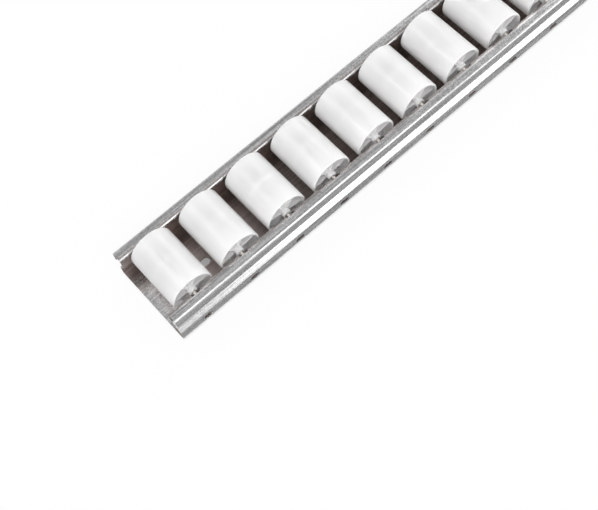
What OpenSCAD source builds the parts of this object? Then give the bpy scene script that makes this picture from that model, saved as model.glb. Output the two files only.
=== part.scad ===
// Flow rack roller track: a roll-formed channel rail with plastic rollers turning on steel axles.
// Millimetres. X runs along the track and Y across it, both from the rail's middle; Z is up from its underside.

/* [Track] */
// Distance between neighbouring axles
pitch = 50; // [46:1:60]
// Cut end of the rail to the first axle
end_margin = 28; // [24:1:34]

/* [Rail section] */
// Width over the two turned-down lips
rail_w = 83.5; // [76:0.5:96]
// Width of each flange, from the neck's inner face to the lip's outer face
flange_w = 10.5; // [9:0.1:12]
// How far each lip hangs out past the wall below it
lip_overhang = 0.75; // [0.5:0.05:2]
// Height from the underside to the top flanges
rail_h = 39; // [37:0.5:44]
// Depth of the neck below the flange
neck_depth = 15; // [13.5:0.5:16.5]
// Depth at which the sloping shoulder meets the lower wall
shoulder_depth = 27; // [25.5:0.5:29]
// Depth of the turned-down lip
lip_depth = 11.5; // [9:0.5:14]
// Sheet thickness
sheet_t = 1.5; // [1.2:0.1:1.8]
// Inside radius of every bend
bend_r = 0.8; // [0.6:0.1:1]

/* [Flange] */
// Width of the low inner strip of the flange, from the neck's inner face
flange_step_w = 4.2; // [3.8:0.1:4.8]
// How far that strip falls towards the neck
flange_step_drop = 0.6; // [0.3:0.1:0.9]

/* [Axle notches] */
// Depth of the axles' centre line below the flange
axle_depth = 6.3; // [6:0.1:7.5]
// Width of the notch's open mouth
mouth_w = 8.4; // [7:0.1:9]
// Depth of the mouth before it tapers to the seat
mouth_depth = 2.2; // [1.6:0.1:2.6]
// How far the mouth bites into the flange, from the neck's inner face
mouth_bite = 2.6; // [2:0.1:3.2]
// Clearance all round the axle in its seat
seat_gap = 0.05; // [0.03:0.01:0.08]

/* [Fixing slots] */
// Length of the side slot under each axle
side_slot_l = 8.6; // [7:0.1:11]
// Width of the side slots
side_slot_w = 5; // [4:0.1:5.6]
// Height of the side slots above the underside
side_slot_z = 5.7; // [5.2:0.1:7]
// Length of the web slot near each end
web_slot_l = 16; // [12:0.5:20]
// Width of the web slots
web_slot_w = 7; // [5:0.1:9]

/* [Axles] */
// Axle diameter
axle_d = 3; // [2.6:0.1:3.4]
// Gap between each axle end and the lip that traps it
axle_end_gap = 1; // [0.5:0.1:1.5]
// Chamfer on the cut ends
axle_chamfer = 0.3; // [0.2:0.05:0.5]

/* [Rollers] */
// Roller diameter
roller_d = 40; // [36:0.5:42]
// Gap between each rim of a roller and the neck beside it
roller_side_gap = 3.25; // [2:0.25:6]
// Wall of the roller's tube
tube_wall = 1.8; // [1.5:0.1:2.5]
// Rounding of the rims
rim_r = 1; // [0.5:0.1:1.2]
// Hub diameter
hub_d = 8.4; // [7:0.1:10]
// How far the hub stands out past each rim
hub_proud = 1; // [0:0.1:1.5]
// Running clearance between bore and axle, on the radius
bore_gap = 0.05; // [0.03:0.01:0.09]
// Ribs between hub and tube
rib_count = 6; // [4:1:8]
// Rib thickness
rib_t = 1.4; // [1:0.1:2]
// How far the ribs' ends sit in from the rims
rib_recess = 2.6; // [1.5:0.1:5]
// Thickness of the disc at mid-length
disc_t = 3; // [2:0.1:5]

/* [Hidden] */
roller_count = 10;
rail_l = 2 * end_margin + (roller_count - 1) * pitch;
axle_z = rail_h - axle_depth;
base_w = rail_w - 2 * lip_overhang;
neck_gap = rail_w - 2 * flange_w;
roller_l = neck_gap - 2 * roller_side_gap;
half_t = sheet_t / 2;
mid_r = bend_r + half_t;
axle_l = rail_w - 2 * sheet_t - 2 * axle_end_gap;
seat_w = axle_d + 2 * seat_gap;
tube_r = roller_d / 2 - tube_wall;
hub_l = roller_l + 2 * hub_proud;
// overlap that fuses a rib into hub and tube, and length by which a cut runs past a face
fuse = 0.6;
past = 1;
curve_fn = 64;
hole_fn = 48;
bend_step = 15;
// how far each roller happens to have stopped, in degrees
roller_turns = [0, 8, -13, 12, 15, -3, 4, 22, -8, 27];
galvanised = [0.62, 0.62, 0.63];
steel = [0.74, 0.72, 0.68];
white_plastic = [0.93, 0.93, 0.92];

// ---- rail -------------------------------------------------------------

// Middle of the sheet on one side of the section, from the web's corner out to the lip's edge
half_fold = [
    [base_w / 2 - half_t, half_t],
    [base_w / 2 - half_t, rail_h - shoulder_depth],
    [neck_gap / 2 + half_t, rail_h - neck_depth],
    [neck_gap / 2 + half_t, rail_h - half_t - flange_step_drop],
    [neck_gap / 2 + flange_step_w, rail_h - half_t],
    [rail_w / 2 - half_t, rail_h - half_t],
    [rail_w / 2 - half_t, rail_h - lip_depth],
];

function reversed(points) = [for (i = [len(points) - 1 : -1 : 0]) points[i]];
fold = concat(reversed([for (p = half_fold) [-p[0], p[1]]]), half_fold);

function along(i) = (fold[i + 1] - fold[i]) / norm(fold[i + 1] - fold[i]);
function left_of(d) = [-d[1], d[0]];
function rotated(v, a) = [v[0] * cos(a) - v[1] * sin(a), v[0] * sin(a) + v[1] * cos(a)];

// Arc that one face of the sheet follows round fold point i; offset is positive on the left face
function bend_arc(i, offset) =
    let (
        side = sign(cross(along(i - 1), along(i))),
        angle = acos(along(i - 1) * along(i)),
        normal = left_of(along(i - 1)),
        start = fold[i] - along(i - 1) * mid_r * tan(angle / 2),
        centre = start + side * mid_r * normal,
        steps = ceil(angle / bend_step)
    )
    [for (k = [0 : steps]) centre - (side * mid_r - offset) * rotated(normal, side * angle * k / steps)];

function sheet_face(offset) =
    let (last = len(fold) - 1)
    concat(
        [fold[0] + left_of(along(0)) * offset],
        [for (i = [1 : last - 1]) each bend_arc(i, offset)],
        [fold[last] + left_of(along(last - 1)) * offset]
    );

// Drop-in notch across both necks: open mouth, taper, then a seat that fits the axle
module axle_notch() {
    taper_end = mouth_depth + (mouth_w - seat_w) / 2;
    for (s = [-1, 1])
        translate([0, s * (neck_gap / 2 + (mouth_bite - past) / 2), rail_h])
            rotate([90, 0, 0])
                linear_extrude(mouth_bite + past, center = true)
                    union() {
                        polygon([
                            [-mouth_w / 2, past], [-mouth_w / 2, -mouth_depth], [-seat_w / 2, -taper_end],
                            [-seat_w / 2, -axle_depth], [seat_w / 2, -axle_depth], [seat_w / 2, -taper_end],
                            [mouth_w / 2, -mouth_depth], [mouth_w / 2, past],
                        ]);
                        translate([0, -axle_depth])
                            circle(d = seat_w, $fn = curve_fn);
                    }
}

// Round-ended slot lying along X, cut along Z
module slot(l, w, depth) {
    for (s = [-1, 1])
        translate([s * (l - w) / 2, 0, 0])
            cylinder(h = depth, d = w, center = true, $fn = hole_fn);
    cube([l - w, w, depth], center = true);
}

function axle_x(i) = (i - (roller_count - 1) / 2) * pitch;

module rail() {
    color(galvanised)
        difference() {
            rotate([90, 0, 90])
                linear_extrude(rail_l, center = true)
                    polygon(concat(sheet_face(half_t), reversed(sheet_face(-half_t))));
            for (i = [0 : roller_count - 1])
                translate([axle_x(i), 0, 0]) {
                    axle_notch();
                    translate([0, 0, side_slot_z])
                        rotate([90, 0, 0])
                            slot(side_slot_l, side_slot_w, base_w + 2 * past);
                }
            for (s = [-1, 1])
                translate([s * (rail_l / 2 - end_margin - pitch / 2), 0, half_t])
                    slot(web_slot_l, web_slot_w, sheet_t + 2 * past);
        }
}

// ---- axles ------------------------------------------------------------

module axle(i) {
    color(steel)
        translate([axle_x(i), 0, axle_z])
            rotate([90, 0, 0])
                union() {
                    cylinder(h = axle_l - 2 * axle_chamfer, d = axle_d, center = true, $fn = hole_fn);
                    for (s = [0, 1])
                        mirror([0, 0, s])
                            translate([0, 0, axle_l / 2 - axle_chamfer])
                                cylinder(
                                    h = axle_chamfer,
                                    d1 = axle_d,
                                    d2 = axle_d - 2 * axle_chamfer,
                                    $fn = hole_fn
                                );
                }
}

// ---- rollers ----------------------------------------------------------

// Half of the roller's turned shape: tube with rounded rims, mid disc and bored hub
module roller_profile() {
    bore_r = axle_d / 2 + bore_gap;
    translate([tube_r, -roller_l / 2])
        square([tube_wall - rim_r, roller_l]);
    translate([tube_r, rim_r - roller_l / 2])
        square([tube_wall, roller_l - 2 * rim_r]);
    for (s = [-1, 1])
        translate([roller_d / 2 - rim_r, s * (roller_l / 2 - rim_r)])
            circle(rim_r, $fn = hole_fn);
    translate([hub_d / 2 - fuse, -disc_t / 2])
        square([tube_r - hub_d / 2 + 2 * fuse, disc_t]);
    translate([bore_r, -hub_l / 2])
        square([hub_d / 2 - bore_r, hub_l]);
}

module roller_ribs() {
    rib_l = roller_l - 2 * rib_recess;
    for (k = [0 : rib_count - 1])
        rotate([0, 0, k * 360 / rib_count])
            translate([hub_d / 2 - fuse, -rib_t / 2, -rib_l / 2])
                cube([tube_r - hub_d / 2 + 2 * fuse, rib_t, rib_l]);
}

module roller(i) {
    color(white_plastic)
        translate([axle_x(i), 0, axle_z])
            rotate([90, 0, 0])
                rotate([0, 0, roller_turns[i]])
                    union() {
                        rotate_extrude($fn = curve_fn)
                            roller_profile();
                        roller_ribs();
                    }
}

rail();
axle(0);  // axle_01
axle(1);  // axle_02
axle(2);  // axle_03
axle(3);  // axle_04
axle(4);  // axle_05
axle(5);  // axle_06
axle(6);  // axle_07
axle(7);  // axle_08
axle(8);  // axle_09
axle(9);  // axle_10
roller(0);  // roller_01
roller(1);  // roller_02
roller(2);  // roller_03
roller(3);  // roller_04
roller(4);  // roller_05
roller(5);  // roller_06
roller(6);  // roller_07
roller(7);  // roller_08
roller(8);  // roller_09
roller(9);  // roller_10
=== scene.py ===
# Flow rack roller track: galvanised channel rail, ribbed white rollers on steel axles.
# Everything is in metres, in the frame's own axes: X along the track, Y across it, Z up from the rail's underside.
import math
import bmesh
import bpy
from mathutils import Euler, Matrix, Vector


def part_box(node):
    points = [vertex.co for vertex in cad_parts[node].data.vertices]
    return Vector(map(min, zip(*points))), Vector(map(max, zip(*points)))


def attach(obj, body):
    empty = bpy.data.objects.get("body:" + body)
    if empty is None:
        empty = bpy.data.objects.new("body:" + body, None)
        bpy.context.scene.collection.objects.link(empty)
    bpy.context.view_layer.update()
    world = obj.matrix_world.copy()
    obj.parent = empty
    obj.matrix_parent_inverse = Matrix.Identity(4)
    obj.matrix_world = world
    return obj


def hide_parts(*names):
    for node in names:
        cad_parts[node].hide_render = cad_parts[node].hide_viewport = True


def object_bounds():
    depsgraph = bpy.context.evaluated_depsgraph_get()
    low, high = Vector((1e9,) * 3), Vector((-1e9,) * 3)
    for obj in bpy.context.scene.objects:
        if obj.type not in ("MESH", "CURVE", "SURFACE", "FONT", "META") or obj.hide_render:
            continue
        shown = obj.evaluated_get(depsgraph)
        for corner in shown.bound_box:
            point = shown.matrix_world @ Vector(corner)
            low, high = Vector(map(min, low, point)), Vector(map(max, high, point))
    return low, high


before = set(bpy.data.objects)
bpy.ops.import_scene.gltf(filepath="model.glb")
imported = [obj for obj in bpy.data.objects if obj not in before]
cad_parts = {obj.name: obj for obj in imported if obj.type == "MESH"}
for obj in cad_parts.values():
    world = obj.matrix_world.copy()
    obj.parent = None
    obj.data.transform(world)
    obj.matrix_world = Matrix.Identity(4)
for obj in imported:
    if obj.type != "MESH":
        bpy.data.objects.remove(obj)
cad_low, cad_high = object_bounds()
scene = bpy.context.scene

ROLLERS = sorted(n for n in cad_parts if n.startswith("roller_"))
AXLES = sorted(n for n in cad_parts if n.startswith("axle_"))
MM = 0.001

# Rail section, where the frame's boxes don't give the size; depths are below the flange's top
FLANGE_WIDTH = 10.5 * MM
LIP_OVERHANG = 0.75 * MM  # how far the lip stands outside the lower wall
NECK_DEPTH = 15.0 * MM
SHOULDER_DEPTH = 27.0 * MM
LIP_DEPTH = 11.5 * MM
SHEET_THICKNESS = 1.5 * MM
BEND_RADIUS = 0.8 * MM
INNER_STRIP_WIDTH = 4.2 * MM
INNER_STRIP_DROP = 0.6 * MM
BEND_STEP = 7.5  # degrees between the facets of a bend
BURR = 0.12 * MM
BURR_ANGLE = 50  # degrees; edges sharper than this are deburred

# Axle notches and fixing slots
AXLE_DEPTH = 6.3 * MM
SEAT_WIDTH = 3.1 * MM
MOUTH_WIDTH = 8.4 * MM
MOUTH_DEPTH = 2.2 * MM
MOUTH_BITE = 2.6 * MM  # how far the notch is cut across, from the neck's inner face
SIDE_SLOT = (8.6 * MM, 5.0 * MM)  # length, width
SIDE_SLOT_HEIGHT = 5.7 * MM
WEB_SLOT = (16.0 * MM, 7.0 * MM)
PAST = 1.0 * MM  # how far a punch goes past the sheet

# Roller moulding
ROLLER_RADIUS = 20.0 * MM
HUB_PROUD = 1.0 * MM
TUBE_WALL = 1.8 * MM
RIM_ROUND = 1.0 * MM
HUB_RADIUS = 4.2 * MM
BORE_RADIUS = 1.55 * MM
DISC_THICKNESS = 3.0 * MM
RIB_COUNT = 6
RIB_THICKNESS = 1.4 * MM
RIB_RECESS = 2.6 * MM
RIB_EDGE = 0.35 * MM
RIB_BITE = 0.3 * MM  # how far a rib runs into hub and tube
BORE_CHAMFER = 0.3 * MM
CORNER_ROUND = 0.4 * MM
CREASE_ANGLE = 35  # degrees; edges sharper than this stay crisp
SAME_POINT = 0.0001 * MM  # points closer than this are one
ROLLER_TURNS = [0, 8, -13, 12, 15, -3, 4, 22, -8, 27]  # degrees that each roller has stopped at

# Colours: darkest and lightest of each finish
BRIGHT_ZINC = (0.47, 0.47, 0.475, 1), (0.94, 0.935, 0.94, 1)
# painted shade: browner, darker zinc that stands in for the shade and warm reflected light inside the channel
WARM_SHADED_ZINC = (0.51, 0.415, 0.385, 1), (0.645, 0.535, 0.50, 1)
# painted shade: the dark colour laid round the axle notches, on the inner walls and along the inner strip
DARK_SHADE_COLOUR = (0.09, 0.07, 0.06, 1)
DRAWN_STEEL = (0.84, 0.78, 0.71, 1), (0.94, 0.90, 0.85, 1)
WHITE_PLASTIC = (0.985, 0.971, 0.969, 1), (0.992, 0.981, 0.979, 1)
WHITE = (1, 1, 1, 1)

# Finish: the spread of the streaks and the share of the patches in the zinc's tone, the least and most roughness,
# and the depth of the relief
STREAK_TONE = (-1.45, 2.15)
PATCH_TONE = 0.28
ZINC_ROUGHNESS = (0.17, 0.30)
STEEL_ROUGHNESS = (0.22, 0.38)
PLASTIC_ROUGHNESS = (0.16, 0.26)
STREAK_RELIEF = 0.8
RELIEF_DEPTH = 0.03 * MM

# Painted shade, 0 to 1, and where it ends: a warm brown shade inside the channel, and a dark shade in the notches, on
# the walls and on the inner strip
WARM_SHADE_MID_WEB = 0.76
WARM_SHADE_AT_ENDS = 0.75
WARM_SHADE_ON_STRIP = 0.5
WARM_SHADE_MATT = 0.15  # added to the roughness
WARM_SHADE_CALM = 0.3  # what is left of the zinc's relief
WALL_SHADE_SHARE = 0.65
STRIP_SHADE_SHARE = 0.7
PALER_WEB_MIDDLE = 20.0 * MM  # half the width where the painted warm shade is lighter
UNSHADED_WEB_ENDS = 25.0 * MM  # half the width that is left without painted shade at the ends
WARM_SHADE_TOP = (3.2 * MM, 2.2 * MM)  # depths below the flange's top
STRIP_FADE = (1.9 * MM, 0.7 * MM)  # distances before the inner strip's outer edge
CLOSE_BY = 0.1 * MM  # how far the painted dark shade passes a notch's edge

# Floor: the level below the rail, how white it shows past the rail's shadow and through the rail's slots,
# the distances past the rail over which it turns white to the eye and in the metal, the paper's colour,
# and its darker colour where the metal mirrors it, which is painted shade
FLOOR_GAP = 0.5 * MM
FLOOR_REACH = 6.0
SEEN_FLOOR_WHITE = 0.88
SEEN_UNDER_RAIL = 0.05
SEEN_SPAN = (-2.0 * MM, 1.0 * MM)
MIRRORED_SPAN = (20.0 * MM, 160.0 * MM)
PAPER_WHITE = 0.8
PAPER_SHADED_IN_METAL = 0.38

# Air: the room's soft light (least, most) and where it comes from, the level of the ceiling seen in metal and
# where it hangs
AIR_LEVEL = (0.72, 6.3)
LIGHT_FROM = (-0.13, -0.4, 0.9)
CEILING_LEVEL = 0.47
CEILING_AT = (0.15, 0.5, 0.85)

# Softboxes: name, place, the point it faces, width and height, watts
SOFTBOXES = (
    ("left_softbox", (-0.98, 0.75, 1.39), (-0.1, 0, 0.03), (0.55, 0.6), 2.5),
    ("right_softbox", (1.2, 0.9, 1.1), (0, 0, 0.03), (0.7, 0.7), 3),
    ("camera_side_softbox", (-0.1, -1.15, 1.2), (0, 0, 0.03), (1.3, 0.75), 2.6),
    ("front_softbox", (0.9, -1.5, 0.3), (0, 0, 0.03), (1.6, 0.5), 5),
)

# Camera: place, turn in degrees, lens on a 36 mm sensor
CAMERA_PLACE = (-0.3386, -0.4110, 0.8844)
CAMERA_TURN = (24.561, 5.513, -41.279)
CAMERA_LENS = 70.4
SENSOR_WIDTH = 36.0


def axle_places():
    """Where each axle crosses the track's middle line."""
    return [sum(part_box(axle), Vector()).x / 2 for axle in AXLES]


# ---- small helpers for pieces ----------------------------------------------

def new_object(name, data):
    piece = bpy.data.objects.new(name, data)
    scene.collection.objects.link(piece)
    return piece


def mesh_from(shape, name):
    """The mesh of a finished bmesh, which is then let go."""
    mesh = bpy.data.meshes.new(name)
    shape.to_mesh(mesh)
    shape.free()
    return mesh


def run_tree(piece, name, tree, inputs):
    """Puts a geometry tree on a piece, with its inputs by label."""
    ids = {s.name: s.identifier for s in tree.interface.items_tree if s.in_out == "INPUT"}
    modifier = piece.modifiers.new(name, "NODES")
    modifier.node_group = tree
    for label, value in inputs.items():
        modifier[ids[label]] = value


def settle(made, name):
    """Turns an object with live modifiers into a plain mesh object at the origin."""
    graph = bpy.context.evaluated_depsgraph_get()
    mesh = bpy.data.meshes.new_from_object(made.evaluated_get(graph))
    bpy.data.objects.remove(made)
    return new_object(name, mesh)


# ---- small helpers for node trees ------------------------------------------
# A place is only where the node sits in the editor.

def add_node(tree, kind, place, **settings):
    node = tree.nodes.new(kind)
    node.location = place
    for name, value in settings.items():
        setattr(node, name, value)
    return node


def set_inputs(node, **values):
    """Sets inputs by name, with _ for each space."""
    for name, value in values.items():
        node.inputs[name.replace("_", " ")].default_value = value


def feed(tree, value, socket):
    """Links a socket to another node's output, or sets it to a constant."""
    if isinstance(value, bpy.types.NodeSocket):
        tree.links.new(value, socket)
    else:
        socket.default_value = value


def maths(tree, operation, values, place):
    """Works out one step; each value is a number or another node's output."""
    node = add_node(tree, "ShaderNodeMath", place, operation=operation)
    for value, socket in zip(values, node.inputs):
        feed(tree, value, socket)
    return node.outputs[0]


def ramp(tree, source, levels, place):
    """Spreads a 0 to 1 value between two levels."""
    node = add_node(tree, "ShaderNodeMapRange", place)
    set_inputs(node, To_Min=levels[0], To_Max=levels[1])
    tree.links.new(source, node.inputs["Value"])
    return node.outputs["Result"]


def fade(tree, source, span, levels, place):
    """Goes smoothly from one level to the other while the source crosses the span."""
    node = add_node(tree, "ShaderNodeMapRange", place, interpolation_type="SMOOTHSTEP")
    for label, value in zip(("Value", "From Min", "From Max", "To Min", "To Max"), (source, *span, *levels)):
        feed(tree, value, node.inputs[label])
    return node.outputs["Result"]


def mix_colours(tree, factor, first, second, place):
    """Goes from the first colour to the second; each is a constant or another node's output."""
    node = add_node(tree, "ShaderNodeMix", place, data_type="RGBA")
    for label, value in (("Factor", factor), ("A", first), ("B", second)):
        feed(tree, value, node.inputs[label])
    return node.outputs["Result"]


def mix_shaders(tree, factor, first, second, place):
    """Goes from the first shader's output to the second's."""
    node = add_node(tree, "ShaderNodeMixShader", place)
    for socket, value in zip(node.inputs, (factor, first, second)):
        tree.links.new(value, socket)
    return node.outputs[0]


def mirrored_rays(tree, rays, place):
    """1 for what is seen in metal, gloss or through clear matter, else 0."""
    return maths(tree, "MAXIMUM", (rays.outputs["Is Glossy Ray"], rays.outputs["Is Transmission Ray"]), place)


def add_relief(tree, shader, height, strength):
    """Gives a shader's surface a fine relief."""
    bump = add_node(tree, "ShaderNodeBump", (250, -300))
    set_inputs(bump, Strength=strength, Distance=RELIEF_DEPTH)
    tree.links.new(height, bump.inputs["Height"])
    tree.links.new(bump.outputs[0], shader.inputs["Normal"])


def end_in_material(tree, geometry, material, x):
    """Ends a geometry tree: its pieces are made real, get their material and go out."""
    real = add_node(tree, "GeometryNodeRealizeInstances", (x, 0))
    finish = add_node(tree, "GeometryNodeSetMaterial", (x + 240, 0))
    result = add_node(tree, "NodeGroupOutput", (x + 480, 0))
    finish.inputs["Material"].default_value = material
    tree.links.new(geometry, real.inputs[0])
    tree.links.new(real.outputs[0], finish.inputs["Geometry"])
    tree.links.new(finish.outputs[0], result.inputs[0])


def emptied_tree(owner):
    """The node tree of a material or world, without its first nodes."""
    owner.use_nodes = True
    owner.node_tree.nodes.clear()
    return owner.node_tree


def new_material(name):
    material = bpy.data.materials.new(name)
    tree = emptied_tree(material)
    output = add_node(tree, "ShaderNodeOutputMaterial", (900, 0))
    shader = add_node(tree, "ShaderNodeBsdfPrincipled", (600, 0))
    tree.links.new(shader.outputs["BSDF"], output.inputs["Surface"])
    return material, tree, shader


def new_group(name, kind, inputs, outputs):
    """A node group with inputs (name, type, value) and outputs (name, type)."""
    group = bpy.data.node_groups.new(name, kind)
    for label, socket_type, value in inputs:
        socket = group.interface.new_socket(label, in_out="INPUT", socket_type=socket_type)
        if value is not None:
            socket.default_value = value
    for label, socket_type in outputs:
        group.interface.new_socket(label, in_out="OUTPUT", socket_type=socket_type)
    return group


# ---- shared effects --------------------------------------------------------

def make_rolled_zinc():
    """Hot-dip zinc on rolled sheet: small crystal patches, fine grain, and streaks along the rolling direction."""
    group = new_group(
        "rolled_zinc", "ShaderNodeTree",
        [("Patches per metre", "NodeSocketFloat", 700.0), ("Grain per metre", "NodeSocketFloat", 2200.0),
         ("Streaks per metre", "NodeSocketFloat", 900.0)],
        [("Patch", "NodeSocketFloat"), ("Grain", "NodeSocketFloat"), ("Streak", "NodeSocketFloat")],
    )
    put = group.links.new
    source = add_node(group, "NodeGroupInput", (-1000, 0))
    result = add_node(group, "NodeGroupOutput", (600, 0))
    where = add_node(group, "ShaderNodeTexCoord", (-1000, 300))
    wobble = add_node(group, "ShaderNodeTexNoise", (-800, 300))
    set_inputs(wobble, Scale=900.0, Detail=2.0)
    shift = add_node(group, "ShaderNodeVectorMath", (-600, 300), operation="MULTIPLY_ADD")
    shift.inputs[1].default_value = (0.8 * MM, 0.8 * MM, 0.8 * MM)
    put(where.outputs["Object"], wobble.inputs["Vector"])
    put(wobble.outputs["Color"], shift.inputs[0])
    put(where.outputs["Object"], shift.inputs[2])
    patches = add_node(group, "ShaderNodeTexVoronoi", (-350, 300))
    put(shift.outputs[0], patches.inputs["Vector"])
    put(source.outputs["Patches per metre"], patches.inputs["Scale"])
    tone = add_node(group, "ShaderNodeSeparateColor", (-100, 300))
    put(patches.outputs["Color"], tone.inputs[0])
    put(tone.outputs[0], result.inputs["Patch"])
    grain = add_node(group, "ShaderNodeTexNoise", (-350, 0))
    set_inputs(grain, Detail=3.0, Roughness=0.6)
    put(where.outputs["Object"], grain.inputs["Vector"])
    put(source.outputs["Grain per metre"], grain.inputs["Scale"])
    put(grain.outputs[0], result.inputs["Grain"])
    rolling = add_node(group, "ShaderNodeMapping", (-600, -300))
    rolling.inputs["Scale"].default_value = (0.012, 1.0, 1.0)
    put(where.outputs["Object"], rolling.inputs["Vector"])
    streaks = add_node(group, "ShaderNodeTexNoise", (-350, -300))
    set_inputs(streaks, Detail=3.0, Roughness=0.7)
    put(rolling.outputs[0], streaks.inputs["Vector"])
    put(source.outputs["Streaks per metre"], streaks.inputs["Scale"])
    put(streaks.outputs[0], result.inputs["Streak"])
    return group


def make_painted_channel_shade():
    """Masks, 0 to 1, of painted shade: a warm brown shade inside the channel, in the hooks and along the flanges'
    inner strips, which thins out on the web towards the ends, and a dark shade in the axle notches and, lighter, on
    the walls and the inner strip."""
    group = new_group("painted_channel_shade", "ShaderNodeTree", [("Clear ends", "NodeSocketFloat", 0.02)],
                      [("Painted warm shade", "NodeSocketFloat"), ("Painted dark shade", "NodeSocketFloat")])
    put = group.links.new
    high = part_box("rail")[1]
    neck = high.y - FLANGE_WIDTH
    strip_edge = neck + INNER_STRIP_WIDTH
    half_sheet = SHEET_THICKNESS / 2
    source = add_node(group, "NodeGroupInput", (-1200, -300))
    result = add_node(group, "NodeGroupOutput", (900, 0))
    where = add_node(group, "ShaderNodeTexCoord", (-1200, 0))
    parts = add_node(group, "ShaderNodeSeparateXYZ", (-1000, 0))
    put(where.outputs["Object"], parts.inputs[0])
    x, y, z = parts.outputs
    across = maths(group, "ABSOLUTE", (y,), (-800, 200))

    # the painted warm shade: between the walls and in the hooks, above the underside, not on the flange's top
    wall = add_node(group, "ShaderNodeMapRange", (-800, 0))
    set_inputs(wall, From_Min=high.z - SHOULDER_DEPTH, From_Max=high.z - NECK_DEPTH,
               To_Min=high.y - LIP_OVERHANG - half_sheet, To_Max=neck + half_sheet)
    put(z, wall.inputs["Value"])
    channel = maths(group, "LESS_THAN", (across, wall.outputs["Result"]), (-700, 300))
    over_neck = maths(group, "GREATER_THAN", (z, high.z - NECK_DEPTH + 0.5 * MM), (-900, 450))
    behind_lip = maths(group, "LESS_THAN", (across, high.y - half_sheet), (-900, 600))
    hook = maths(group, "MULTIPLY", (over_neck, behind_lip), (-700, 500))
    inside = maths(group, "MAXIMUM", (channel, hook), (-500, 200))
    above = maths(group, "GREATER_THAN", (z, half_sheet), (-500, 0))
    off_underside = maths(group, "MULTIPLY", (inside, above), (-200, 200))
    under_flange = fade(group, z, [high.z - depth for depth in WARM_SHADE_TOP], (1.0, 0.0), (-500, -200))
    sheltered = maths(group, "MULTIPLY", (off_underside, under_flange), (0, 100))

    # lighter in the middle of the web, and towards the ends but for what keeps to the walls
    to_wall = fade(group, across, (PALER_WEB_MIDDLE, neck), (WARM_SHADE_MID_WEB, 1.0), (-200, -650))
    paler_middle = maths(group, "MULTIPLY", (sheltered, to_wall), (200, 0))
    kept = fade(group, across, (UNSHADED_WEB_ENDS, neck), (0.0, WARM_SHADE_AT_ENDS), (-400, -650))
    along = maths(group, "ABSOLUTE", (x,), (-800, -400))
    to_end = maths(group, "SUBTRACT", (high.x, along), (-500, -400))
    ends = fade(group, to_end, (0.0, source.outputs["Clear ends"]), (kept, 1.0), (-200, -400))
    channel_shade = maths(group, "MULTIPLY", (paler_middle, ends), (400, 0))

    # a fainter painted warm shade on the top of the flange's inner strip
    strip = fade(group, across, [strip_edge - step for step in STRIP_FADE], (WARM_SHADE_ON_STRIP, 0.0), (0, -400))
    past_bend = maths(group, "GREATER_THAN", (across, neck + 1.5 * BEND_RADIUS), (0, -900))
    top = maths(group, "GREATER_THAN", (z, high.z - 1.2 * MM), (0, -700))
    flat_top = maths(group, "MULTIPLY", (top, past_bend), (200, -800))
    ledge = maths(group, "MULTIPLY", (strip, flat_top), (400, -400))
    put(maths(group, "MAXIMUM", (channel_shade, ledge), (650, 0)), result.inputs["Painted warm shade"])

    # the painted dark shade: full on the sheet round each notch, lighter on the walls and the inner strip
    first, second = axle_places()[:2]
    from_first = maths(group, "SUBTRACT", (x, first), (-800, -1000))
    to_axle = maths(group, "PINGPONG", (from_first, (second - first) / 2), (-600, -1000))
    over_mouth = maths(group, "LESS_THAN", (to_axle, MOUTH_WIDTH / 2 + CLOSE_BY), (-400, -1000))
    under_top = maths(group, "LESS_THAN", (z, high.z - INNER_STRIP_DROP - 0.3 * MM), (-400, -1200))
    over_seat = maths(group, "GREATER_THAN", (z, high.z - AXLE_DEPTH - SEAT_WIDTH), (-400, -1400))
    notch_height = maths(group, "MULTIPLY", (under_top, over_seat), (-200, -1300))
    at_notch = maths(group, "MULTIPLY", (over_mouth, notch_height), (0, -1150))
    from_neck = maths(group, "GREATER_THAN", (across, neck - CLOSE_BY), (0, -1350))
    in_hook = maths(group, "MULTIPLY", (from_neck, behind_lip), (150, -1450))
    notch_shade = maths(group, "MULTIPLY", (at_notch, in_hook), (300, -1200))
    on_wall = maths(group, "MULTIPLY", (sheltered, kept), (300, -900))
    wall_shade = maths(group, "MULTIPLY", (on_wall, WALL_SHADE_SHARE), (500, -900))
    ledge_shade = maths(group, "MULTIPLY", (ledge, STRIP_SHADE_SHARE), (500, -700))
    soft_shade = maths(group, "MAXIMUM", (wall_shade, ledge_shade), (600, -800))
    put(maths(group, "MAXIMUM", (notch_shade, soft_shade), (750, -1000)), result.inputs["Painted dark shade"])
    return group


# ---- materials -------------------------------------------------------------

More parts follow.
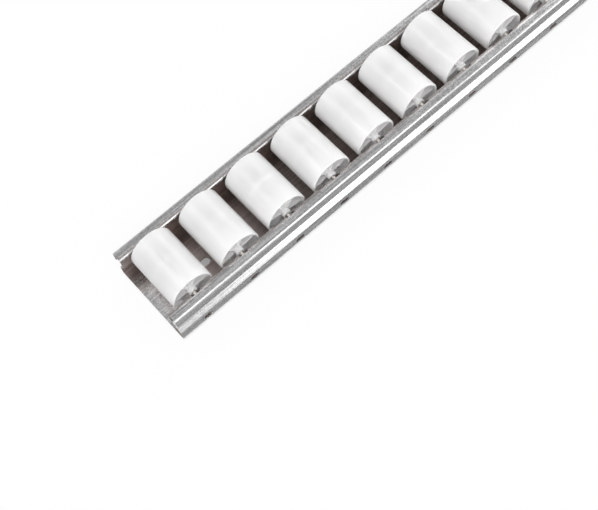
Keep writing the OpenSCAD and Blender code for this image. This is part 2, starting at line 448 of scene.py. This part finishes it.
def make_galvanised_sheet(rolled_zinc, painted_channel_shade):
    """Bright patchy zinc. A painted warm shade makes it browner, duller and calmer inside the channel,
    and a painted dark shade darkens it round the notches, on the walls and along the inner strip.
    """
    material, tree, shader = new_material("galvanised_sheet")
    zinc = add_node(tree, "ShaderNodeGroup", (-900, 0), node_tree=rolled_zinc)
    set_inputs(zinc, Patches_per_metre=620.0, Grain_per_metre=2600.0, Streaks_per_metre=620.0)
    shade_masks = add_node(tree, "ShaderNodeGroup", (-900, 350), node_tree=painted_channel_shade)
    set_inputs(shade_masks, Clear_ends=0.022)
    patch, grain, streak = zinc.outputs
    warm_shade, dark_shade = shade_masks.outputs
    lines = ramp(tree, streak, STREAK_TONE, (-650, -100))
    tone = maths(tree, "MULTIPLY_ADD", (patch, PATCH_TONE, lines), (-400, 50))
    bright = mix_colours(tree, tone, *BRIGHT_ZINC, (-100, 200))
    warm_shaded = mix_colours(tree, tone, *WARM_SHADED_ZINC, (-100, 450))
    # the zinc with its painted warm shade
    clean = mix_colours(tree, warm_shade, bright, warm_shaded, (200, 300))
    # the painted dark shade laid over it
    shaded_colour = mix_colours(tree, ramp(tree, dark_shade, (0.0, 0.9), (200, 500)), clean, DARK_SHADE_COLOUR, (400, 300))
    tree.links.new(shaded_colour, shader.inputs["Base Color"])
    polish = ramp(tree, patch, ZINC_ROUGHNESS, (200, -50))
    matt = maths(tree, "MULTIPLY_ADD", (warm_shade, WARM_SHADE_MATT, polish), (400, -50))
    tree.links.new(matt, shader.inputs["Roughness"])
    rolled = maths(tree, "MULTIPLY_ADD", (streak, STREAK_RELIEF, grain), (-100, -350))
    calm = ramp(tree, warm_shade, (1.0, WARM_SHADE_CALM), (-100, -550))
    add_relief(tree, shader, maths(tree, "MULTIPLY", (rolled, calm), (80, -350)), 0.3)
    shader.inputs["Metallic"].default_value = 1.0
    return material


def make_axle_steel():
    """Warm bright steel with fine drawing lines along the axle."""
    material, tree, shader = new_material("axle_steel")
    put = tree.links.new
    where = add_node(tree, "ShaderNodeTexCoord", (-900, 0))
    stretch = add_node(tree, "ShaderNodeMapping", (-700, 0))
    stretch.inputs["Scale"].default_value = (1.0, 0.08, 1.0)
    drawn = add_node(tree, "ShaderNodeTexNoise", (-500, 0))
    set_inputs(drawn, Scale=2600.0, Detail=2.0)
    put(where.outputs["Object"], stretch.inputs["Vector"])
    put(stretch.outputs[0], drawn.inputs["Vector"])
    put(mix_colours(tree, drawn.outputs[0], *DRAWN_STEEL, (0, 200)), shader.inputs["Base Color"])
    put(ramp(tree, drawn.outputs[0], STEEL_ROUGHNESS, (0, -100)), shader.inputs["Roughness"])
    shader.inputs["Metallic"].default_value = 1.0
    return material


def make_white_plastic():
    """Slightly translucent satin white."""
    material, tree, shader = new_material("white_plastic")
    put = tree.links.new
    where = add_node(tree, "ShaderNodeTexCoord", (-900, 0))
    clouds = add_node(tree, "ShaderNodeTexNoise", (-600, 200))
    set_inputs(clouds, Scale=60.0, Detail=2.0)
    skin = add_node(tree, "ShaderNodeTexNoise", (-600, -200))
    set_inputs(skin, Scale=1800.0, Detail=3.0)
    put(where.outputs["Object"], clouds.inputs["Vector"])
    put(where.outputs["Object"], skin.inputs["Vector"])
    put(mix_colours(tree, clouds.outputs[0], *WHITE_PLASTIC, (0, 200)), shader.inputs["Base Color"])
    put(ramp(tree, skin.outputs[0], PLASTIC_ROUGHNESS, (0, -100)), shader.inputs["Roughness"])
    add_relief(tree, shader, skin.outputs[0], 0.12)
    set_inputs(shader, Subsurface_Weight=1.0, Subsurface_Radius=(1.0, 1.0, 1.0), Subsurface_Scale=9.0 * MM)
    return material


# ---- rollers ---------------------------------------------------------------

def quarter_round(centre, radius, start, steps):
    """Points of a 90 degree arc in the profile plane, turning anticlockwise from start degrees."""
    cx, cz = centre
    angles = [math.radians(start + 90 * k / steps) for k in range(steps + 1)]
    return [(cx + radius * math.cos(a), cz + radius * math.sin(a)) for a in angles]


def roller_profile(radius, length, hub_length):
    """Closed outline in (distance from axis, place along it), anticlockwise, of the turned half of a roller."""
    inner = radius - TUBE_WALL
    soft = CORNER_ROUND
    end, hub_end, disc = length / 2, hub_length / 2, DISC_THICKNESS / 2
    upper = [(BORE_RADIUS, 0.0), (BORE_RADIUS, hub_end - BORE_CHAMFER), (BORE_RADIUS + BORE_CHAMFER, hub_end)]
    upper += [(HUB_RADIUS - soft, hub_end)]
    upper += reversed(quarter_round((HUB_RADIUS - soft, hub_end - soft), soft, 0, steps=3))
    upper += [(HUB_RADIUS, disc + soft)]
    upper += [(HUB_RADIUS + soft, disc), (inner - soft, disc), (inner, disc + soft)]
    upper += reversed(quarter_round((inner + soft, end - soft), soft, 90, steps=3))
    upper += reversed(quarter_round((radius - RIM_ROUND, end - RIM_ROUND), RIM_ROUND, 0, steps=6))
    upper += [(radius, end * 0.5)]
    lower = [(r, -z) for r, z in reversed(upper) if z > 0]
    outline = upper + [(radius, 0.0)] + lower
    clean = []
    for point in outline:
        if not clean or math.dist(point, clean[-1]) > SAME_POINT:
            clean.append(point)
    return clean


def turned_mesh(name, outline, segments=112):
    """Turns a closed outline round Z."""
    vertices, faces = [], []
    for s in range(segments):
        a = 2 * math.pi * s / segments
        vertices += [(r * math.cos(a), r * math.sin(a), z) for r, z in outline]
    n = len(outline)
    for s in range(segments):
        here, there = s * n, (s + 1) % segments * n
        faces += [(here + k, here + (k + 1) % n, there + (k + 1) % n, there + k) for k in range(n)]
    mesh = bpy.data.meshes.new(name)
    mesh.from_pydata(vertices, [], faces)
    mesh.update()
    return mesh


def rib_mesh(name, size, edge):
    """A straight rib with softened edges, its length along Z."""
    shape = bmesh.new()
    bmesh.ops.create_cube(shape, size=1.0)
    bmesh.ops.scale(shape, vec=size, verts=shape.verts)
    ends = [e for e in shape.edges if abs(e.verts[0].co.z - e.verts[1].co.z) < size[2] / 2]
    bmesh.ops.bevel(shape, geom=ends, offset=edge, segments=3, profile=0.5, affect="EDGES")
    return mesh_from(shape, name)


def make_ribbed_roller_tree(plastic):
    """Joins the ribs to hub and tube as one solid, then turns the roller and sets it on its axle."""
    tree = new_group(
        "ribbed_roller", "GeometryNodeTree",
        [("Turned body", "NodeSocketGeometry", None), ("Rib", "NodeSocketObject", None),
         ("Ribs", "NodeSocketInt", RIB_COUNT), ("Rib middle radius", "NodeSocketFloat", 0.01),
         ("Turn", "NodeSocketFloat", 0.0), ("Centre", "NodeSocketVector", (0.0, 0.0, 0.0))],
        [("Roller", "NodeSocketGeometry")],
    )
    put = tree.links.new
    source = add_node(tree, "NodeGroupInput", (-1200, 0))
    spots = add_node(tree, "GeometryNodeMeshCircle", (-900, -200))
    put(source.outputs["Ribs"], spots.inputs["Vertices"])
    put(source.outputs["Rib middle radius"], spots.inputs["Radius"])
    rib = add_node(tree, "GeometryNodeObjectInfo", (-900, -500))
    put(source.outputs["Rib"], rib.inputs["Object"])
    outward = add_node(tree, "ShaderNodeVectorMath", (-900, 150), operation="NORMALIZE")
    place = add_node(tree, "GeometryNodeInputPosition", (-1100, 150))
    put(place.outputs[0], outward.inputs[0])
    facing = add_node(tree, "FunctionNodeAlignRotationToVector", (-650, 150), axis="X", pivot_axis="Z")
    put(outward.outputs[0], facing.inputs["Vector"])
    ribs = add_node(tree, "GeometryNodeInstanceOnPoints", (-450, -200))
    put(spots.outputs["Mesh"], ribs.inputs["Points"])
    put(rib.outputs["Geometry"], ribs.inputs["Instance"])
    put(facing.outputs[0], ribs.inputs["Rotation"])
    single = add_node(tree, "GeometryNodeRealizeInstances", (-250, -200))
    put(ribs.outputs[0], single.inputs[0])
    whole = add_node(tree, "GeometryNodeMeshBoolean", (-50, 0), operation="UNION", solver="EXACT")
    put(source.outputs["Turned body"], whole.inputs["Mesh 2"])
    put(single.outputs[0], whole.inputs["Mesh 2"])
    spin = add_node(tree, "ShaderNodeCombineXYZ", (-50, -300))
    put(source.outputs["Turn"], spin.inputs["Z"])
    turned = add_node(tree, "GeometryNodeTransform", (200, 0))
    put(whole.outputs["Mesh"], turned.inputs["Geometry"])
    put(spin.outputs[0], turned.inputs["Rotation"])
    laid = add_node(tree, "GeometryNodeTransform", (450, 0))
    laid.inputs["Rotation"].default_value = (math.pi / 2, 0, 0)
    put(turned.outputs[0], laid.inputs["Geometry"])
    put(source.outputs["Centre"], laid.inputs["Translation"])
    end_in_material(tree, laid.outputs[0], plastic, 700)
    return tree


def smooth_round(piece, angle):
    """Smooth shading that keeps edges sharper than the angle crisp."""
    piece.data.shade_smooth()
    piece.data.set_sharp_from_angle(angle=math.radians(angle))


def make_rollers(plastic):
    """A finer moulding in place of each roller's solid."""
    tree = make_ribbed_roller_tree(plastic)
    for node, turn in zip(ROLLERS, ROLLER_TURNS):
        low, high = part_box(node)
        centre = (low + high) / 2
        hub_length = high.y - low.y
        length = hub_length - 2 * HUB_PROUD
        profile = roller_profile(ROLLER_RADIUS, length, hub_length)
        blank = new_object(node + "_blank", turned_mesh(node + "_blank", profile))
        rib_in, rib_out = HUB_RADIUS - RIB_BITE, ROLLER_RADIUS - TUBE_WALL + RIB_BITE
        rib_size = (rib_out - rib_in, RIB_THICKNESS, length - 2 * RIB_RECESS)
        rib = new_object(node + "_rib", rib_mesh(node + "_rib", rib_size, RIB_EDGE))
        run_tree(blank, "ribs", tree, {"Rib": rib, "Rib middle radius": (rib_in + rib_out) / 2,
                                       "Turn": math.radians(turn), "Centre": centre})
        roller = settle(blank, node + "_moulding")
        bpy.data.objects.remove(rib)
        smooth_round(roller, CREASE_ANGLE)
        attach(roller, node)
        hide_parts(node)


# ---- rail and axles --------------------------------------------------------

def turned_by(v, degrees):
    """A flat vector turned anticlockwise."""
    a = math.radians(degrees)
    return Vector((v.x * math.cos(a) - v.y * math.sin(a), v.x * math.sin(a) + v.y * math.cos(a)))


def sheet_outline(width, height):
    """Closed outline, in (across, up), of the rolled section: the middle of the sheet set off to both sides."""
    half = SHEET_THICKNESS / 2
    mid_radius = BEND_RADIUS + half
    neck = width / 2 - FLANGE_WIDTH
    base = width / 2 - LIP_OVERHANG
    right = [Vector(p) for p in (
        (base - half, half),
        (base - half, height - SHOULDER_DEPTH),
        (neck + half, height - NECK_DEPTH),
        (neck + half, height - half - INNER_STRIP_DROP),
        (neck + INNER_STRIP_WIDTH, height - half),
        (width / 2 - half, height - half),
        (width / 2 - half, height - LIP_DEPTH),
    )]
    fold = [Vector((-p.x, p.y)) for p in reversed(right)] + right

    def along(i):
        return (fold[i + 1] - fold[i]).normalized()

    def left_of(d):
        return Vector((-d.y, d.x))

    def face(offset):
        points = [fold[0] + left_of(along(0)) * offset]
        for i in range(1, len(fold) - 1):
            before, after = along(i - 1), along(i)
            side = math.copysign(1.0, before.x * after.y - before.y * after.x)
            angle = math.degrees(math.acos(max(-1.0, min(1.0, before.dot(after)))))
            normal = left_of(before)
            centre = fold[i] - before * mid_radius * math.tan(math.radians(angle / 2)) + side * mid_radius * normal
            steps = math.ceil(angle / BEND_STEP)
            points += [centre - (side * mid_radius - offset) * turned_by(normal, side * angle * k / steps)
                       for k in range(steps + 1)]
        return points + [fold[-1] + left_of(along(len(fold) - 2)) * offset]

    return face(half) + face(-half)[::-1]


def prism(name, outline, start, end, to_world):
    """Closed straight solid: an outline carried from start to end, each point placed by to_world(a, b, depth)."""
    shape = bmesh.new()
    near = [shape.verts.new(to_world(a, b, start)) for a, b in outline]
    far = [shape.verts.new(to_world(a, b, end)) for a, b in outline]
    count = len(outline)
    shape.faces.new(near)
    shape.faces.new(far[::-1])
    for k in range(count):
        shape.faces.new((near[k], far[k], far[(k + 1) % count], near[(k + 1) % count]))
    bmesh.ops.recalc_face_normals(shape, faces=shape.faces)
    return new_object(name, mesh_from(shape, name))


def slot_outline(length, width, steps=14):
    """Round-ended slot lying along its first axis."""
    radius, reach = width / 2, (length - width) / 2
    points = []
    for side, start in ((1, -90), (-1, 90)):
        for k in range(steps + 1):
            a = math.radians(start + 180 * k / steps)
            points.append((side * reach + radius * math.cos(a), radius * math.sin(a)))
    return points


def notch_outline(steps=14):
    """Open mouth, taper and round-bottomed axle seat; heights are measured down from the flange."""
    taper_end = MOUTH_DEPTH + (MOUTH_WIDTH - SEAT_WIDTH) / 2
    half_mouth, half_seat = MOUTH_WIDTH / 2, SEAT_WIDTH / 2
    left = [(-half_mouth, PAST), (-half_mouth, -MOUTH_DEPTH), (-half_seat, -taper_end)]
    seat = []
    for k in range(steps + 1):
        a = math.radians(180 + 180 * k / steps)
        seat.append((half_seat * math.cos(a), -AXLE_DEPTH + half_seat * math.sin(a)))
    return left + seat + [(-x, z) for x, z in left[::-1]]


def make_punched_rail_tree(zinc):
    """Cuts axle notches, side slots and web slots out of the rolled rail."""
    tree = new_group(
        "punched_rail", "GeometryNodeTree",
        [("Rolled rail", "NodeSocketGeometry", None), ("Notch", "NodeSocketObject", None),
         ("Side slot", "NodeSocketObject", None), ("Web slot", "NodeSocketObject", None),
         ("Axles", "NodeSocketInt", 10), ("Pitch", "NodeSocketFloat", 0.05),
         ("First axle", "NodeSocketVector", (0.0, 0.0, 0.0)), ("Web slot reach", "NodeSocketFloat", 0.2)],
        [("Rail", "NodeSocketGeometry")],
    )
    put = tree.links.new
    source = add_node(tree, "NodeGroupInput", (-1400, 0))
    step = add_node(tree, "ShaderNodeCombineXYZ", (-1150, -200))
    put(source.outputs["Pitch"], step.inputs["X"])
    row = add_node(tree, "GeometryNodeMeshLine", (-950, -100), mode="OFFSET")
    put(source.outputs["Axles"], row.inputs["Count"])
    put(source.outputs["First axle"], row.inputs["Start Location"])
    put(step.outputs[0], row.inputs["Offset"])
    reach = add_node(tree, "ShaderNodeCombineXYZ", (-1150, -500))
    put(source.outputs["Web slot reach"], reach.inputs["X"])
    back = add_node(tree, "ShaderNodeVectorMath", (-1150, -700), operation="SCALE")
    back.inputs["Scale"].default_value = -1.0
    put(reach.outputs[0], back.inputs[0])
    pair = add_node(tree, "GeometryNodeMeshLine", (-950, -500), mode="END_POINTS")
    pair.inputs["Count"].default_value = 2
    put(back.outputs[0], pair.inputs["Start Location"])
    put(reach.outputs[0], pair.inputs["Offset"])
    cut = add_node(tree, "GeometryNodeMeshBoolean", (100, 0), operation="DIFFERENCE", solver="EXACT")
    put(source.outputs["Rolled rail"], cut.inputs["Mesh 1"])
    for label, spots, level in (("Notch", row, 300), ("Side slot", row, 0), ("Web slot", pair, -300)):
        punch = add_node(tree, "GeometryNodeObjectInfo", (-700, level))
        put(source.outputs[label], punch.inputs["Object"])
        copies = add_node(tree, "GeometryNodeInstanceOnPoints", (-450, level))
        put(spots.outputs["Mesh"], copies.inputs["Points"])
        put(punch.outputs["Geometry"], copies.inputs["Instance"])
        solid = add_node(tree, "GeometryNodeRealizeInstances", (-200, level))
        put(copies.outputs[0], solid.inputs[0])
        put(solid.outputs[0], cut.inputs["Mesh 2"])
    end_in_material(tree, cut.outputs["Mesh"], zinc, 350)
    return tree


def join_pair(name, pieces):
    """One object from two that lie apart."""
    shape = bmesh.new()
    for piece in pieces:
        shape.from_mesh(piece.data)
        bpy.data.objects.remove(piece)
    return new_object(name, mesh_from(shape, name))


def make_rail(zinc):
    """A finer rail, rolled and punched, in place of its solid."""
    low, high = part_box("rail")
    width, height = high.y - low.y, high.z - low.z
    neck = width / 2 - FLANGE_WIDTH
    base = width / 2 - LIP_OVERHANG
    first, second = axle_places()[:2]
    rolled = prism("rolled_rail", sheet_outline(width, height), low.x, high.x, lambda y, z, x: (x, y, z))
    notch = join_pair("notch_punch", [
        prism("punch_" + word, notch_outline(), side * (neck - PAST), side * (neck + MOUTH_BITE),
              lambda x, z, y: (x, y, height + z))
        for word, side in (("near", -1), ("far", 1))])
    side_slot = prism("side_slot_punch", slot_outline(*SIDE_SLOT), -base - PAST, base + PAST,
                      lambda x, z, y: (x, y, SIDE_SLOT_HEIGHT + z))
    web_slot = prism("web_slot_punch", slot_outline(*WEB_SLOT), -PAST, SHEET_THICKNESS + PAST,
                     lambda x, y, z: (x, y, z))
    run_tree(rolled, "punching", make_punched_rail_tree(zinc), {
        "Notch": notch, "Side slot": side_slot, "Web slot": web_slot, "Axles": len(AXLES),
        "Pitch": second - first, "First axle": (first, 0.0, 0.0), "Web slot reach": -(first + second) / 2})
    edge = rolled.modifiers.new("deburred_edges", "BEVEL")
    edge.width = BURR
    edge.segments = 2
    edge.limit_method = "ANGLE"
    edge.angle_limit = math.radians(BURR_ANGLE)
    shading = rolled.modifiers.new("flat_faces_stay_flat", "WEIGHTED_NORMAL")
    shading.keep_sharp = True
    rolled.data.shade_smooth()
    rail = settle(rolled, "rail_sheet")
    for punch in (notch, side_slot, web_slot):
        bpy.data.objects.remove(punch)
    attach(rail, "track")
    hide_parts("rail")


def dress(node, material):
    """Gives a piece that keeps its own solid its finish."""
    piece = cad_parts[node]
    for slot in piece.material_slots:
        slot.material = material


# ---- studio ----------------------------------------------------------------

def make_floor():
    """White paper. Past the rail it shows as plain white with a soft shadow; under and close to the rail, and as
    the zinc mirrors it there, it keeps its own shade. Where metal and gloss mirror it, its colour is darker: a
    painted shade."""
    mesh = bpy.data.meshes.new("studio_floor")
    level = cad_low.z - FLOOR_GAP
    corners = [(x * FLOOR_REACH, y * FLOOR_REACH, level) for x, y in ((-1, -1), (1, -1), (1, 1), (-1, 1))]
    mesh.from_pydata(corners, [], [(0, 1, 2, 3)])
    floor = new_object("studio_floor", mesh)
    material = bpy.data.materials.new("studio_white")
    tree = emptied_tree(material)
    put = tree.links.new
    output = add_node(tree, "ShaderNodeOutputMaterial", (900, 0))
    rays = add_node(tree, "ShaderNodeLightPath", (-500, 300))
    mirrored = mirrored_rays(tree, rays, (-200, 200))
    paper = add_node(tree, "ShaderNodeBsdfDiffuse", (300, 100))
    # where metal and gloss mirror the paper it is darker, a painted shade
    shades = [(white, white, white, 1) for white in (PAPER_WHITE, PAPER_SHADED_IN_METAL)]
    put(mix_colours(tree, mirrored, *shades, (100, 400)), paper.inputs["Color"])
    glow = add_node(tree, "ShaderNodeEmission", (300, -100))
    glow.inputs["Color"].default_value = WHITE
    where = add_node(tree, "ShaderNodeTexCoord", (-1200, -300))
    place = add_node(tree, "ShaderNodeVectorMath", (-1000, -300), operation="ABSOLUTE")
    put(where.outputs["Object"], place.inputs[0])
    past = add_node(tree, "ShaderNodeVectorMath", (-800, -300), operation="SUBTRACT")
    past.inputs[1].default_value = (cad_high.x, cad_high.y, 0.0)
    put(place.outputs[0], past.inputs[0])
    sides = add_node(tree, "ShaderNodeSeparateXYZ", (-600, -300))
    put(past.outputs[0], sides.inputs[0])
    away = maths(tree, "MAXIMUM", (sides.outputs["X"], sides.outputs["Y"]), (-400, -300))
    seen_white = fade(tree, away, SEEN_SPAN, (SEEN_UNDER_RAIL, SEEN_FLOOR_WHITE), (-200, -150))
    mirrored_white = fade(tree, away, MIRRORED_SPAN, (0.0, 1.0), (-200, -450))
    seen = maths(tree, "MULTIPLY", (rays.outputs["Is Camera Ray"], seen_white), (0, 300))
    share = maths(tree, "MULTIPLY_ADD", (mirrored, mirrored_white, seen), (200, 300))
    put(mix_shaders(tree, share, paper.outputs[0], glow.outputs[0], (600, 0)), output.inputs["Surface"])
    floor.data.materials.append(material)


def make_world():
    """Soft room light, strongest from above the near side: white to the eye, and white in metal and gloss
    but for the dimmer ceiling above."""
    world = bpy.data.worlds.new("studio_air")
    scene.world = world
    tree = emptied_tree(world)
    put = tree.links.new
    output = add_node(tree, "ShaderNodeOutputWorld", (600, 0))
    where = add_node(tree, "ShaderNodeTexCoord", (-800, -200))
    rays = add_node(tree, "ShaderNodeLightPath", (-600, 300))
    mirrored = mirrored_rays(tree, rays, (-400, 200))

    def towards(direction, span, levels, level):
        """Fades from the first level to the second towards a direction."""
        facing = add_node(tree, "ShaderNodeVectorMath", (-600, level), operation="DOT_PRODUCT")
        facing.inputs[1].default_value = Vector(direction).normalized()
        put(where.outputs["Generated"], facing.inputs[0])
        return fade(tree, facing.outputs["Value"], span, levels, (-400, level))

    def background(strength, place):
        node = add_node(tree, "ShaderNodeBackground", place)
        node.inputs["Color"].default_value = WHITE
        feed(tree, strength, node.inputs["Strength"])
        return node.outputs[0]

    air = background(towards(LIGHT_FROM, (0.93, 0.998), AIR_LEVEL, 0), (200, 0))
    overhead = background(CEILING_LEVEL, (0, 0))
    room = mix_shaders(tree, mirrored, air, overhead, (300, 150))
    walls = towards(CEILING_AT, (0.55, 0.85), (1.0, 0.0), -200)
    backdrop = maths(tree, "MULTIPLY_ADD", (mirrored, walls, rays.outputs["Is Camera Ray"]), (-200, 200))
    white = background(1.0, (200, -200))
    put(mix_shaders(tree, backdrop, room, white, (450, 0)), output.inputs["Surface"])


def add_softbox(name, place, aim, size, power):
    light = bpy.data.lights.new(name, "AREA")
    light.shape = "RECTANGLE"
    light.size, light.size_y = size
    light.energy = power
    lamp = new_object(name, light)
    lamp.location = place
    lamp.rotation_euler = (Vector(aim) - Vector(place)).to_track_quat("-Z", "Y").to_euler()


def make_camera():
    data = bpy.data.cameras.new("studio_camera")
    data.lens = CAMERA_LENS
    data.sensor_width = SENSOR_WIDTH
    camera = new_object("studio_camera", data)
    camera.location = CAMERA_PLACE
    camera.rotation_euler = Euler([math.radians(a) for a in CAMERA_TURN])
    scene.camera = camera


scene.view_settings.view_transform = "Standard"
make_camera()
make_world()
make_floor()
for softbox in SOFTBOXES:
    add_softbox(*softbox)

make_rail(make_galvanised_sheet(make_rolled_zinc(), make_painted_channel_shade()))
axle_steel = make_axle_steel()
for axle in AXLES:
    dress(axle, axle_steel)
make_rollers(make_white_plastic())
